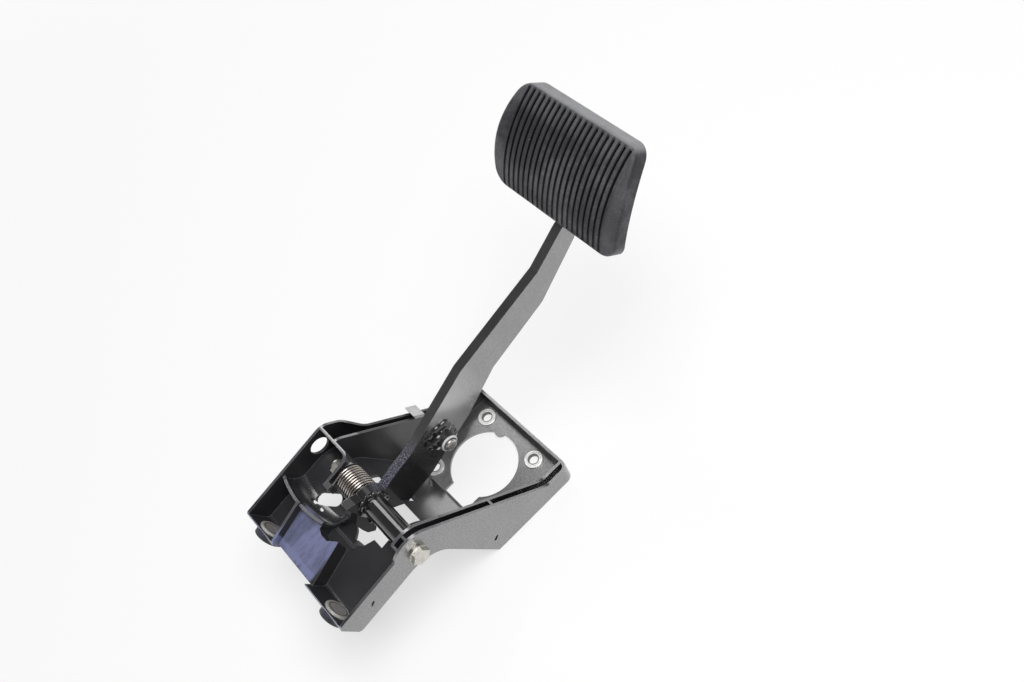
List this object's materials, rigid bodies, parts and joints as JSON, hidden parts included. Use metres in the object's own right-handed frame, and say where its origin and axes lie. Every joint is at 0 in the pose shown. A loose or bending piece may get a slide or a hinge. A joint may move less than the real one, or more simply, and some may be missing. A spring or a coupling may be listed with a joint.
{
  "type": "brake pedal assembly",
  "caption": "Hanging brake pedal: moulded bracket with a stud flange and two feet, flat steel arm on a sprung pivot, pushrod pin and grooved rubber pad.",
  "frame": {"origin": "centre of the four flange studs, on the flange's mounting face", "axes": "+X along the pivot towards the bolt head, +Y in the flange plane from the feet towards the pad, +Z square to the flange, towards the driver"},
  "size_m": [0.1505, 0.4018, 0.2731],
  "materials": {
    "black_moulding": "satin black glass-filled moulding",
    "black_paint": "satin black dip coat",
    "sleeve_steel": "bright plated",
    "insert_steel": "dull plated",
    "plated_steel": "warm zinc plated",
    "spring_steel": "drawn wire",
    "pin_steel": "turned",
    "bush_plastic": "smooth black",
    "grey_plastic": "light grey, matt",
    "pad_rubber": "worn black rubber"
  },
  "bodies": {
    "bracket": {"bracket": "black_moulding", "stud_sleeve_front_left": "sleeve_steel", "stud_sleeve_rear_left": "sleeve_steel", "stud_sleeve_front_right": "sleeve_steel", "stud_sleeve_rear_right": "sleeve_steel", "foot_insert_left": "insert_steel", "foot_insert_right": "insert_steel", "pivot_bolt": "plated_steel", "pivot_nut": "plated_steel", "pivot_spacer": "plated_steel", "wall_clip": "grey_plastic", "return_spring": "spring_steel"},
    "pedal": {"pedal_arm": "black_paint", "pivot_tube": "black_paint", "pivot_bush_left": "bush_plastic", "pivot_bush_right": "bush_plastic", "pushrod_pin": "pin_steel", "pin_bush": "bush_plastic", "pad_plate": "black_paint", "rubber_pad": "pad_rubber"}
  },
  "joints": [
    {"name": "pedal_pivot", "type": "hinge", "parent": "bracket", "child": "pedal", "pos_m": [0, -0.094, 0.097], "axis": [-1, 0, 0], "range_deg": [0, 18], "stiffness_Nm_per_rad": 3, "springref_deg": -68.75, "deforming": ["return_spring"]}
  ]
}
